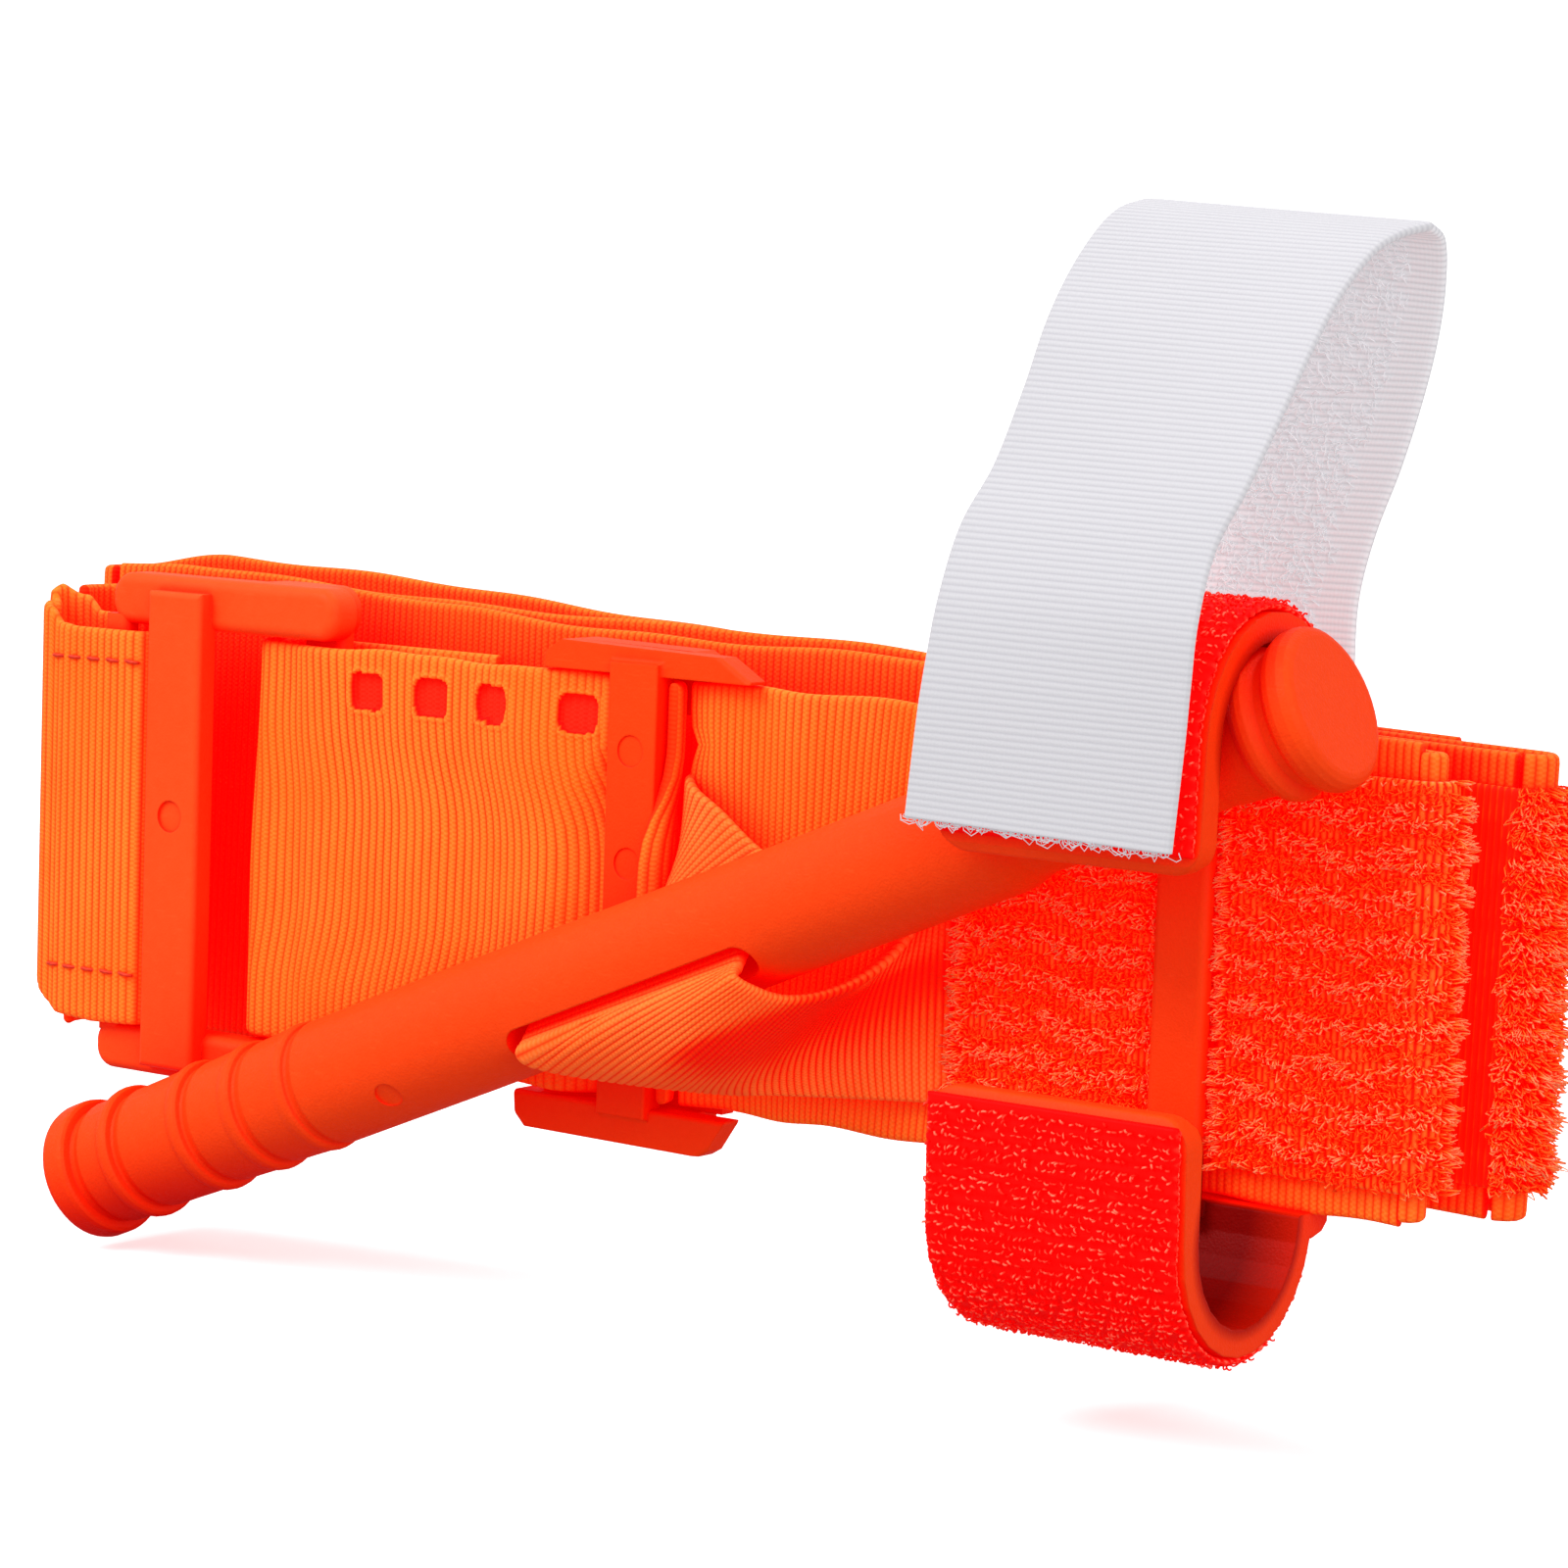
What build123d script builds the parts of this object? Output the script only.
from build123d import *
import math
import os

# Windlass tourniquet with a hook-and-loop band, standing on its long edge.
# Millimetres. +X along the band, -Y is the front, +Z across the band width.
# Origin: on the rear face of the outermost rear ply, level with the middle of the windlass rod.
# Pieces are laid out from the band's front face (y = 0) and moved by -REAR_Y when written.
# Names ending in _X, _Y or _Z that hold a pair are (low, high) spans.


# ---- helpers --------------------------------------------------------------------------------
def box(x, y, z):
    """Block filling three (low, high) spans."""
    centre = [(low + high) / 2 for low, high in (x, y, z)]
    size = [high - low for low, high in (x, y, z)]
    return Pos(*centre) * Box(*size)


def rounded_box(x, y, z, radius, axis=Axis.Y):
    """Block with its edges parallel to one axis rounded."""
    block = box(x, y, z)
    return fillet(block.edges().filter_by(axis), radius)


def both_sides(half):
    """Span centred on zero."""
    return (-half, half)


def arc(cx, cy, radius, start, end, count=9):
    """Points on an arc, angles in degrees."""
    angles = [math.radians(start + (end - start) * i / (count - 1)) for i in range(count)]
    return [(cx + radius * math.cos(a), cy + radius * math.sin(a)) for a in angles]


def outline_face(points):
    return make_face(Polyline(*points, close=True))


def yz_prism(points, x):
    """Outline in (y, z), extruded over the x span."""
    face = make_face(Plane.YZ * Polyline(*points, close=True))
    return Pos(x[0], 0, 0) * extrude(face, x[1] - x[0], dir=(1, 0, 0))


def xz_plate(points, y):
    """Outline in (x, z), extruded over the y span."""
    face = outline_face([(px, 0, pz) for px, pz in points])
    return Pos(0, y[0], 0) * extrude(face, y[1] - y[0], dir=(0, 1, 0))


def ribbon(points, thickness, z):
    """Ply along a centre line in (x, y), filling the z span."""
    left, right = [], []
    last = len(points) - 1
    for i, (x, y) in enumerate(points):
        xa, ya = points[max(i - 1, 0)]
        xb, yb = points[min(i + 1, last)]
        length = math.hypot(xb - xa, yb - ya)
        nx, ny = -(yb - ya) / length, (xb - xa) / length
        left.append((x + nx * thickness / 2, y + ny * thickness / 2))
        right.append((x - nx * thickness / 2, y - ny * thickness / 2))
    return Pos(0, 0, z[0]) * extrude(outline_face(left + right[::-1]), z[1] - z[0])


def soften(shape, edges, radius):
    """Round the given edges, one at a time where a single fillet can't be built."""
    # Guards the fillet of all edges at once, which can fail where short edges meet.
    try:
        return fillet(edges, radius)
    except Exception:
        pass
    for edge in list(edges):
        for trial_radius in (radius, radius * 0.5):
            # Guards each single fillet: an edge that can't be rounded stays sharp.
            try:
                near = [e for e in shape.edges()
                        if (e.center() - edge.center()).length < 1e-4
                        and abs(e.length - edge.length) < 1e-4]
                if not near:
                    break
                trial = fillet(near[0], trial_radius)
                if trial.is_valid and trial.volume > 0:
                    shape = trial
                    break
            except Exception:
                continue
    return shape


def as_solid(shape):
    """The shape's only solid, or a compound of all of them."""
    solids = shape.solids()
    return solids[0] if len(solids) == 1 else Compound(children=list(solids))


# ---- shared dimensions ----------------------------------------------------------------------
BAND_W = 37.4                   # width of the outer band
BAND_Z = both_sides(BAND_W / 2)
PLY = 1.2                       # one ply of outer band
INNER_W, INNER_T = 25.0, 1.1    # inner band
STRAP_W, STRAP_T = 25.0, 1.2    # windlass strap
BACKING_Y = (1.5, 3.2)          # clip base and stabilization plate, behind the front ply

# rear plies: they climb to the left, turned about x = RISE_X
REAR_RISE, RISE_X = 1.3, 70
TAIL_X, TAIL_Y = 36.0, 13.9     # where the free tail begins
LEFT_FOLD = arc(-86.6, 17.7, 2.75, 262, 94)     # left fold of the outer rear ply


def rear_face_y():
    """y of the outer rear ply's rear face at x = 0, z = 0, once the ply is tilted."""
    fold_x, fold_y = LEFT_FOLD[-1]
    run = math.hypot(TAIL_X - fold_x, TAIL_Y - fold_y)
    nx, ny = -(TAIL_Y - fold_y) / run, (TAIL_X - fold_x) / run
    cos_rise, sin_rise = math.cos(math.radians(REAR_RISE)), math.sin(math.radians(REAR_RISE))
    from_pivot = fold_x + nx * PLY / 2 - RISE_X
    x, y, z = RISE_X + from_pivot * cos_rise, fold_y + ny * PLY / 2, -from_pivot * sin_rise
    return y + (nx * cos_rise * x - nx * sin_rise * z) / ny


REAR_Y = rear_face_y()


def save(name, shape):
    """Move a piece to the final origin and write it."""
    shape = shape if isinstance(shape, (Solid, Compound)) else as_solid(shape)
    export_step(Pos(0, -REAR_Y, 0) * shape, f"parts/{name}.step")


# ---- windlass rod ---------------------------------------------------------------------------
ROD_Y, ROD_Z = -10.0, -4.8      # middle of the rod, in front of the band face
ROD_TILT = 22.8                 # the rod rises to the right
ROD_START, ROD_END = -70.0, 71.0    # ends along the rod's axis
ROD_R_LEFT, ROD_R_MID, ROD_R_NECK = 5.75, 5.45, 4.75
SLOT_START, SLOT_END = -13.3, 14.3  # slot ends along the rod's axis
SLOT_MID = (SLOT_START + SLOT_END) / 2
SLOT_W = 3.4
SLOT_CUT = 20                   # depth of the slot's cutter, centred on the axis
SLOT_ROLL = 38.0                # slot direction, turned down from the front
DIMPLES = (-28, 29)             # shallow round dimples, along the axis
DIMPLE_R, DIMPLE_DEPTH, DIMPLE_OUT = 1.3, 0.9, 5.95

# raised beads with a narrow groove on their right: (right end, crest radius, radius past groove)
BEADS = [(-61.2, 6.28, 5.68), (-52.0, 6.15, 5.68), (-45.2, 6.08, 5.68), (-38.6, 6.0, ROD_R_LEFT)]

# rod profile left and right of the beads: (along the axis, radius)
ROD_LEFT_END = [
    (ROD_START, 0), (ROD_START, 5.6), (ROD_START + 0.15, 6.0), (ROD_START + 0.5, 6.32),
    (ROD_START + 0.95, 6.45), (-67.5, 6.45), (-67.1, 6.36), (-66.9, 6.1),
    (-66.8, 5.45), (-66.3, 5.35), (-65.9, 5.5), (-65.5, 5.75),
]
ROD_RIGHT = [
    (-20, ROD_R_LEFT), (20, ROD_R_MID), (38.5, ROD_R_MID), (39.6, 5.35), (40.6, 5.1),
    (41.4, 4.8), (42.0, ROD_R_NECK), (60.2, ROD_R_NECK), (60.9, 4.9), (64.4, 5.2),
    (64.9, 5.75), (65.3, 6.1), (65.8, 6.25), (66.3, 6.2), (66.8, 5.8), (67.1, 5.5),
    (67.8, 5.5), (68.1, 5.9), (68.5, 6.35), (69.1, 6.6), (70.0, 6.62), (70.6, 6.4),
    (70.9, 6.0), (ROD_END, 5.6), (ROD_END, 0),
]


def rod_location():
    """Rod frame: local x along the rod, local z out of the slot at the front."""
    tilt, roll = math.radians(ROD_TILT), math.radians(SLOT_ROLL)
    along = Vector(math.cos(tilt), 0, math.sin(tilt))
    down = Vector(math.sin(tilt), 0, -math.cos(tilt))
    out = Vector(0, -1, 0) * math.cos(roll) + down * math.sin(roll)
    return Plane(origin=Vector(0, ROD_Y, ROD_Z), x_dir=along, z_dir=out).location


def windlass_rod():
    profile = list(ROD_LEFT_END)
    for end, crest, beyond in BEADS:
        profile += [
            (end - 1.6, 5.85), (end - 1.15, crest - 0.06), (end - 0.75, crest),
            (end - 0.35, crest - 0.05), (end - 0.1, crest - 0.25),
            (end, 5.5), (end + 0.25, 5.36), (end + 0.6, 5.45), (end + 1.1, beyond),
        ]
    rod = revolve(outline_face(profile + ROD_RIGHT), axis=Axis.X)
    slot = extrude(SlotOverall(SLOT_END - SLOT_START, SLOT_W), SLOT_CUT)
    rod = rod - Pos(SLOT_MID, 0, -SLOT_CUT / 2) * slot
    for x in DIMPLES:
        rod = rod - Pos(x, 0, DIMPLE_OUT) * Cylinder(DIMPLE_R, DIMPLE_DEPTH)
    return rod_location() * rod


# ---- windlass clip: base behind the front ply, a hook above and below, a bar in front -------
CLIP_X = (35.7, 59.7)
HOOK_Y, HOOK_Z = -9.3, 19.4     # centre of the upper hook's bend; the lower one mirrors it
HOOK_INNER_R, HOOK_OUTER_R = 7.8, 10.0
HOOK_TIP = 9.3                  # z of the hook's free tip
TIP_CORNER_R = 2.6
BASE_OVERHANG = 2.0             # base beyond the hooks, left and right
BASE_HALF, BASE_END = 18.9, 20.3    # z reach of the wide base and of its middle
CLIP_BAR_X = (46.0, 51.0)
CLIP_BAR_Y = (-3.3, -1.5)
FOOT_Z = (19.25, 20.6)          # upper foot joining bar and base


def clip_hook(side):
    """Hook on one side: +1 upper, -1 lower."""
    front, rear = BACKING_Y
    outer_y, inner_y = HOOK_Y - HOOK_OUTER_R, HOOK_Y - HOOK_INNER_R
    profile = [
        (rear, 17.5), (rear, BASE_END), (2.4, 21.0), (0.7, 21.4),
        *arc(HOOK_Y, HOOK_Z, HOOK_OUTER_R, 10, 180, 13),
        (outer_y - 0.35, HOOK_TIP + 0.8), (outer_y + 0.1, HOOK_TIP),
        (inner_y - 0.5, HOOK_TIP), (inner_y - 0.1, HOOK_TIP + 0.8),
        *arc(HOOK_Y, HOOK_Z, HOOK_INNER_R, 180, 0, 13),
        (-1.1, FOOT_Z[0]), (front, FOOT_Z[0]), (front, 17.5),
    ]
    return yz_prism([(y, z * side) for y, z in profile], CLIP_X)


def windlass_clip():
    clip = clip_hook(1) + clip_hook(-1)
    base_x = (CLIP_X[0] - BASE_OVERHANG, CLIP_X[1] + BASE_OVERHANG)
    base = rounded_box(base_x, BACKING_Y, both_sides(BASE_HALF), 1.8)
    base = base + box(CLIP_X, BACKING_Y, both_sides(BASE_END))
    bar = rounded_box(CLIP_BAR_X, CLIP_BAR_Y, both_sides(19.8), 0.7, Axis.Z)
    foot_y = (CLIP_BAR_Y[0], 1.6)
    feet = box(CLIP_BAR_X, foot_y, FOOT_Z) + box(CLIP_BAR_X, foot_y, (-FOOT_Z[1], -FOOT_Z[0]))
    clip = clip + base + bar + feet
    # tip corners, rounded as seen from the front
    for side in (1, -1):
        for x, inward in ((CLIP_X[0], 1), (CLIP_X[1], -1)):
            z = HOOK_TIP * side
            centre_x, centre_z = x + inward * TIP_CORNER_R, z + side * TIP_CORNER_R
            corner = box(sorted((x, centre_x)), (-21.5, -14), sorted((z, centre_z)))
            keep = Pos(centre_x, -18, centre_z) * Rot(90, 0, 0) * Cylinder(TIP_CORNER_R, 12)
            clip = clip - (corner - keep)
    tip_edges = [e for e in clip.edges()
                 if e.geom_type == GeomType.LINE and abs(e.center().Z) < HOOK_TIP + 0.2
                 and e.center().Y < -16 and e.length > 10]
    return soften(clip, tip_edges, 0.5)


# hook fabric bonded round the outside of each hook
PATCH_T, PATCH_GAP = 0.8, 0.03
PATCH_INSET = 0.4               # from the clip's left and right edges
PATCH_START = 14                # degrees round the bend where the fabric starts


def hook_patch(side, clip):
    inner = HOOK_OUTER_R + PATCH_GAP
    outer = inner + PATCH_T
    profile = [
        *arc(HOOK_Y, HOOK_Z, outer, PATCH_START, 180, 12),
        (HOOK_Y - outer - 0.32, HOOK_TIP + 1.6), (HOOK_Y - inner - 0.32, HOOK_TIP + 1.6),
        *arc(HOOK_Y, HOOK_Z, inner, 180, PATCH_START, 12),
    ]
    patch_x = (CLIP_X[0] + PATCH_INSET, CLIP_X[1] - PATCH_INSET)
    return yz_prism([(y, z * side) for y, z in profile], patch_x) - clip


# ---- stabilization plate --------------------------------------------------------------------
# flange outlines as (x, z): a shared left end, then the right end of the lip and of the web
TOP_LEFT = [(-18.6, 18.95), (-18.6, 20.1), (-16.6, 21.5)]
TOP_LIP = TOP_LEFT + [(0.9, 21.1), (4.1, 19.2), (4.1, 18.95)]
TOP_WEB = TOP_LEFT + [(-3.6, 21.25), (-0.6, 19.6), (-0.6, 18.95)]
BOTTOM_LEFT = [(-20.4, -19.2), (-20.2, -21.6), (-19.4, -22.4)]
BOTTOM_LIP = BOTTOM_LEFT + [(0.2, -22.6), (1.2, -22.0), (2.9, -19.4), (2.9, -19.2)]
BOTTOM_WEB = BOTTOM_LEFT + [(-3.4, -22.5), (-1.6, -20.6), (-1.6, -19.2)]
LIP_Y = (-2.0, 0.3)
WEB_Y = (0.1, BACKING_Y[1])
PLATE_BAR_Y = (-2.7, -0.25)


def stabilization_plate():
    plate = box((-19.8, 0.2), BACKING_Y, both_sides(19.3))
    plate = plate - box((-8.0, -3.9), (1.0, 4.0), both_sides(15.5))
    bar = box((-10.6, -5.3), PLATE_BAR_Y, both_sides(20.0))
    plate = plate + xz_plate(TOP_LIP, LIP_Y) + xz_plate(BOTTOM_LIP, LIP_Y)
    # behind their lips the two flanges are shorter at the right
    plate = plate + xz_plate(TOP_WEB, WEB_Y) + xz_plate(BOTTOM_WEB, WEB_Y) + bar
    front_edges = [e for e in plate.edges() if e.center().Y < -1.9 and e.length > 1.0]
    plate = soften(plate, front_edges, 0.45)
    # shallow round dimples in the bar's front
    for z in (12.3, 2.4):
        plate = plate - Pos(-8.0, PLATE_BAR_Y[0], z) * Rot(90, 0, 0) * Cylinder(1.4, 0.3)
    return plate


# ---- routing buckle -------------------------------------------------------------------------
RAIL_FRONT, RAIL_REAR = -1.5, 1.6
RAIL_RIGHT = -43.4
LUG_X, LUG_REAR = (-56.5, -45.2), 4.3   # deeper part of each rail, holding the right bar


def buckle_rail(left, z, corner, front_round):
    rail = rounded_box((left, RAIL_RIGHT), (RAIL_FRONT, RAIL_REAR), z, corner)
    rail = rail + rounded_box(LUG_X, (RAIL_FRONT, LUG_REAR), z, corner)
    return soften(rail, [e for e in rail.edges() if e.center().Y < -1.4], front_round)


def routing_buckle():
    top = buckle_rail(left=-71.6, z=(19.1, 24.0), corner=2.2, front_round=1.1)
    bottom = buckle_rail(left=-72.6, z=(-23.7, -19.1), corner=2.0, front_round=1.0)
    front_bar = box((-65.3, -58.6), (-3.1, -0.9), both_sides(22.6))
    front_edges = [e for e in front_bar.edges() if e.center().Y < -3.0]
    front_bar = soften(front_bar, front_edges, 0.55)
    front_bar = front_bar - Pos(-61.9, -3.2, 1.5) * Rot(90, 0, 0) * Cylinder(1.5, 0.8)
    left_bar = rounded_box((-72.4, -69.4), (-1.4, 0.6), both_sides(20), 0.7, Axis.Z)
    right_bar = rounded_box((-50.4, -45.5), (2.1, 4.2), both_sides(20), 0.8, Axis.Z)
    return top + bottom + front_bar + left_bar + right_bar


# ---- outer band, front ply ------------------------------------------------------------------
TURN_X, TURN_R = -51.6, 2.75    # turn round the buckle's right bar
FRONT_PLY_Y = PLY / 2
TURN_Y = FRONT_PLY_Y + TURN_R
TURNED_Y = TURN_Y + TURN_R      # turned-back ply
HEM_Y = 2.05
PAD_Y, PAD_Z = (-1.25, -0.03), both_sides(15.6)


def front_band():
    path = [(-30.0, TURNED_Y), (-46.0, TURNED_Y), *arc(TURN_X, TURN_Y, TURN_R, 90, 270),
            (69.0, FRONT_PLY_Y)]
    # opening for the inner band
    return ribbon(path, PLY, BAND_Z) - box((-8.6, -3.6), (-1, 2), both_sides(16.0))


def front_band_hem():
    """Short hem folded behind the right end of the front ply."""
    return ribbon([(62.6, HEM_Y), (68.9, HEM_Y)], PLY, BAND_Z)


# ---- inner band -----------------------------------------------------------------------------
INNER_LEFT_X = -5.1
TONGUE_Y = -8.4
TONGUE = [(-8.5, -16.4), (12.7, -7.4), (12.7, -15.4), (2.0, -18.0)]     # (x, z)
FLAT_Z = -13.6


def inner_band_core():
    """The stretch through the rod's slot."""
    return rod_location() * (Pos(SLOT_MID, 0, 0.4) * Box(INNER_W, INNER_T, 12.6))


def inner_band_left():
    return box((INNER_LEFT_X, INNER_LEFT_X + INNER_T), (-3.9, 1.2), both_sides(INNER_W / 2))


def inner_band_right():
    """A tongue hanging below the rod, and a flat stretch on the front ply."""
    tongue = xz_plate(TONGUE, (TONGUE_Y, TONGUE_Y + INNER_T))
    flat = box((13.0, 25.8), (-1.3, -0.12), (FLAT_Z, FLAT_Z + INNER_W))
    return Compound(children=[as_solid(tongue), as_solid(flat)])


# ---- keeper loop round the buckle's left bar ------------------------------------------------
KEEPER_Y = 0.35
KEEPER_BOTTOM, KEEPER_W = -17.6, 36.5


def racetrack(left_x, right_x, radius):
    return outline_face(arc(left_x, KEEPER_Y, radius, 90, 270)
                        + arc(right_x, KEEPER_Y, radius, 270, 450))


def keeper_loop():
    ring = racetrack(-77.0, -70.1, 3.25) - racetrack(-74.6, -70.3, 2.05)
    return Pos(0, 0, KEEPER_BOTTOM) * extrude(ring, KEEPER_W)


# ---- rear plies, centre lines in (x, y) before they are tilted ------------------------------
# from the keeper side, along the back, to the fold at the right
REAR_INNER = arc(-79.0, 7.3, 3.6, 215, 90) + [(-60, 10.6), (72.6, 6.3)]
# fold at the right end and the middle ply running back to the left fold
REAR_MIDDLE = arc(73.0, 7.95, 1.62, -82, 88, 7) + [(72.0, 9.62), (-86.0, 14.9)]
# left fold and the outer ply
REAR_OUTER = LEFT_FOLD + [(TAIL_X, TAIL_Y)]

TAIL_GAP, TAIL_LENGTH = 0.25, 28
TAIL_RUN = (TAIL_X + 86.8, TAIL_Y - 20.45)      # the tail's direction
TAIL_FOLD_T, TAIL_FOLD_INSET = 1.0, 0.3


def tilt(shape):
    return Pos(RISE_X, 0, 0) * Rot(0, REAR_RISE, 0) * Pos(-RISE_X, 0, 0) * shape


def rear_ply(points):
    return tilt(ribbon(points, PLY, BAND_Z))


def tail_point(back, behind):
    """Point a distance back from the tail's tip and behind its centre line."""
    run = math.hypot(*TAIL_RUN)
    ux, uy = TAIL_RUN[0] / run, TAIL_RUN[1] / run
    tip_x = TAIL_X + TAIL_GAP + ux * TAIL_LENGTH
    tip_y = TAIL_Y + uy * TAIL_GAP + uy * TAIL_LENGTH
    return (tip_x - ux * back - uy * behind, tip_y - uy * back + ux * behind)


def tail_tip():
    return rear_ply([tail_point(TAIL_LENGTH, 0), tail_point(0, 0)])


def tail_tip_fold():
    """The folded tip, in front of the tail."""
    points = [tail_point(6.5, -1.15), tail_point(0.2, -1.15)]
    return tilt(ribbon(points, TAIL_FOLD_T, both_sides(BAND_W / 2 - TAIL_FOLD_INSET)))


# ---- windlass strap -------------------------------------------------------------------------
# stations: (centre line point, direction of the strap's width)
# front half, from the hook patch up to the crest
STRAP_FRONT = [
    ((45.9, -21.2, 11.3), (1, 0, 0)), ((46.6, -21.25, 20.0), (1, 0, 0)),
    ((47.15, -21.15, 24.0), (24.9, -0.6, 0)), ((47.5, -20.6, 29.1), (24.9, -2.0, -0.2)),
    ((47.7, -18.4, 34.6), (24.8, -3.0, -0.4)), ((48.5, -15.8, 39.2), (24.8, -3.0, -0.5)),
    ((49.0, -12.3, 45.2), (24.9, -2.2, -0.8)), ((49.2, -8.8, 50.4), (25, -1.0, -1.1)),
    ((49.3, -5.3, 54.4), (25, -0.2, -1.1)), ((49.6, -1.6, 57.8), (25, 1.0, -1.1)),
    ((50.15, 1.2, 59.5), (24.9, 2.2, -1.2)), ((51.0, 4.1, 60.2), (24.8, 3.4, -1.2)),
]
# back half, from the crest down behind the clip
STRAP_BACK = [
    ((51.05, 4.65, 60.25), (24.8, 3.4, -1.2)), ((51.2, 7.0, 59.2), (24.8, 2.6, -1.0)),
    ((50.8, 8.6, 56.3), (25, 1.4, -0.6)), ((50.2, 9.0, 51.5), (25, 0.6, 0)),
    ((49.3, 8.7, 46.3), (1, 0, 0)), ((48.1, 7.7, 40.5), (1, 0, 0)),
    ((47.0, 6.5, 35.0), (1, 0, 0)), ((46.5, 5.4, 30.0), (1, 0, 0)),
    ((46.6, 4.6, 25.0), (1, 0, 0)), ((46.9, 4.3, 20.0), (1, 0, 0)),
    ((47.2, 4.3, -12.0), (1, 0, 0)),
]
CREST_RUN = (0, 1, 0.05)        # direction of the centre line at the crest


def strap(stations, first=None, last=None):
    """Ruled strap through the stations; first and last set the end directions."""
    end = len(stations) - 1
    sections = []
    for i, (point, width) in enumerate(stations):
        run = Vector(*stations[min(i + 1, end)][0]) - Vector(*stations[max(i - 1, 0)][0])
        if i == 0 and first:
            run = Vector(*first)
        if i == end and last:
            run = Vector(*last)
        width = Vector(*width).normalized()
        run = (run - width * run.dot(width)).normalized()
        plane = Plane(origin=point, x_dir=width, z_dir=run)
        sections.append(plane.location * make_face(Rectangle(STRAP_W, STRAP_T)))
    body = None
    for lower, upper in zip(sections[:-1], sections[1:]):
        piece = loft([lower, upper], ruled=True)
        body = piece if body is None else body + piece
    return body


# ---- stitching: short raised threads --------------------------------------------------------
THREAD_R, THREAD_LENGTH = 0.22, 1.7
PITCH, STRAP_PITCH = 2.4, 2.45
ALONG_X, ALONG_Z = (1, 0, 0), (0, 0, 1)

# two rows on the rear face of the strap's back end
STRAP_THREADS = [(36.9 + i * STRAP_PITCH, 5.16, z) for z in (-9.6, 12.0) for i in range(9)]
# two rows on the front of the keeper loop
KEEPER_THREADS = [(-77.6 + i * PITCH, -3.15, z) for z in (15.6, -14.0) for i in range(4)]
# two columns on the rear face of the front ply's turned-back end
BUCKLE_THREADS = [(x, 6.96, -16.5 + i * PITCH) for x in (-40.5, -37.5) for i in range(14)]
# two columns on the rear face of the tail
TAIL_THREADS = [(*tail_point(back, 0.86), -16.4 + i * PITCH)
                for back in (2.0, 5.2) for i in range(14)]


def stitches(centres, direction):
    along = Vector(*direction)
    threads = []
    for centre in centres:
        plane = Plane(origin=Vector(*centre) - along * (THREAD_LENGTH / 2), z_dir=along)
        threads.append(as_solid(plane.location * extrude(Circle(THREAD_R), THREAD_LENGTH)))
    return Compound(children=threads)


# ---- write the pieces -----------------------------------------------------------------------
os.makedirs("parts", exist_ok=True)
save("windlass_rod", windlass_rod())
clip = windlass_clip()
save("windlass_clip", clip)
save("upper_hook_patch", hook_patch(1, clip))
save("lower_hook_patch", hook_patch(-1, clip))
save("stabilization_plate", stabilization_plate())
save("routing_buckle", routing_buckle())
save("front_band", front_band())
save("front_band_hem", front_band_hem())
# loop pile pads on the front ply, either side of the clip's bar
save("pile_pad_left", box((26.0, 45.7), PAD_Y, PAD_Z))
save("pile_pad_right", box((51.3, 68.6), PAD_Y, PAD_Z))
save("inner_band_core", inner_band_core())
save("inner_band_left", inner_band_left())
save("inner_band_right", inner_band_right())
save("keeper_loop", keeper_loop())
save("rear_band_inner", rear_ply(REAR_INNER))
save("rear_band_middle", rear_ply(REAR_MIDDLE))
save("rear_band_outer", rear_ply(REAR_OUTER))
save("tail_tip", tail_tip())
save("tail_tip_fold", tail_tip_fold())
save("strap_flap", strap(STRAP_FRONT, last=CREST_RUN))
save("strap_anchor", strap(STRAP_BACK, first=CREST_RUN))
save("strap_stitching", stitches(STRAP_THREADS, ALONG_X))
save("keeper_stitching", stitches(KEEPER_THREADS, ALONG_X))
save("buckle_loop_stitching", stitches(BUCKLE_THREADS, ALONG_Z))
save("tail_stitching", tilt(stitches(TAIL_THREADS, ALONG_Z)))
